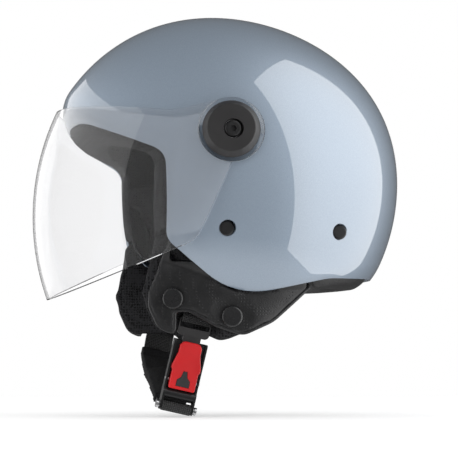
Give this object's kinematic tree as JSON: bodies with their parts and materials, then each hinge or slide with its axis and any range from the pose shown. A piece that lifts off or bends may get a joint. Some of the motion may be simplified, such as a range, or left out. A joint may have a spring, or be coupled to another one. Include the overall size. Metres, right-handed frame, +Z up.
{
  "type": "open face motorcycle helmet",
  "caption": "Open face motorcycle helmet with a flip-up clear visor, padded cheek flaps and a ratchet-buckle chin strap.",
  "frame": {"origin": "centre of the head space, which is the centre of the shell's egg", "axes": "+Z up, -Y the way the wearer looks, +X the wearer's left"},
  "size_m": [0.2596, 0.2831, 0.3087],
  "materials": {
    "shell_paint": "gloss metallic blue-grey lacquer",
    "foam": "black expanded polystyrene",
    "mesh_fabric": "open knitted spacer mesh",
    "leatherette": "fine-grained perforated leatherette",
    "pad_fabric": "brushed knit over foam",
    "black_plastic": "fine satin moulding",
    "black_metal": "black coated steel",
    "steel": "bright plated steel",
    "webbing": "woven polyester webbing",
    "red_plastic": "glossy red moulding",
    "clear_visor": "clear hard-coated polycarbonate"
  },
  "bodies": {
    "helmet": {"outer_shell": "shell_paint", "eps_liner": "foam", "crown_liner": "mesh_fabric", "brow_liner": "mesh_fabric", "nape_liner": "mesh_fabric", "neck_roll": "leatherette", "ear_flap_left": "leatherette", "ear_flap_right": "leatherette", "cheek_pad_left": "mesh_fabric", "cheek_pad_right": "mesh_fabric", "flap_snap_caps_left": "black_plastic", "flap_snap_caps_right": "black_plastic", "flap_snap_studs_left": "steel", "flap_snap_studs_right": "steel", "pivot_base_left": "black_plastic", "pivot_base_right": "black_plastic", "pivot_washer_left": "steel", "pivot_washer_right": "steel", "pivot_screw_left": "black_metal", "pivot_screw_right": "black_metal", "pivot_nut_left": "steel", "pivot_nut_right": "steel", "strap_hanger_left": "steel", "strap_hanger_right": "steel", "front_strap_rivets": "black_metal", "rear_liner_rivets": "black_metal", "rear_liner_clips": "black_plastic"},
    "visor_frame": {"visor": "clear_visor", "pivot_cap_left": "black_plastic", "pivot_cap_right": "black_plastic"},
    "strap_loop": {"strap_webbing_left": "webbing", "strap_webbing_right": "webbing", "chin_pad": "pad_fabric", "buckle_cross_bar": "steel", "buckle_frame": "black_metal", "buckle_lever_pin": "steel", "buckle_lever_spring": "steel"},
    "lever": {"buckle_lever": "red_plastic", "buckle_lever_inlay": "black_plastic"},
    "tongue": {"ratchet_tongue": "black_plastic"}
  },
  "joints": [
    {"name": "visor_tilt", "type": "hinge", "parent": "helmet", "child": "visor_frame", "pos_m": [0, -0.015, 0.029], "axis": [-1, 0, 0], "range_deg": [0, 62]},
    {"name": "strap_swing", "type": "hinge", "parent": "helmet", "child": "strap_loop", "pos_m": [0, -0.016, -0.0425], "axis": [-1, 0, 0], "range_deg": [0, 2.5]},
    {"name": "lever_lift", "type": "hinge", "parent": "strap_loop", "child": "lever", "pos_m": [0.06404, -0.0407, -0.1539], "axis": [0, 0.9763, -0.2164], "range_deg": [0, 18], "stiffness_Nm_per_rad": 0.02, "springref_deg": -28.65},
    {"name": "tongue_slide", "type": "slide", "parent": "strap_loop", "child": "tongue", "axis": [0.092, 0.2155, 0.9722], "range_m": [0, 0.008], "deforming": ["strap_webbing_left"]}
  ]
}
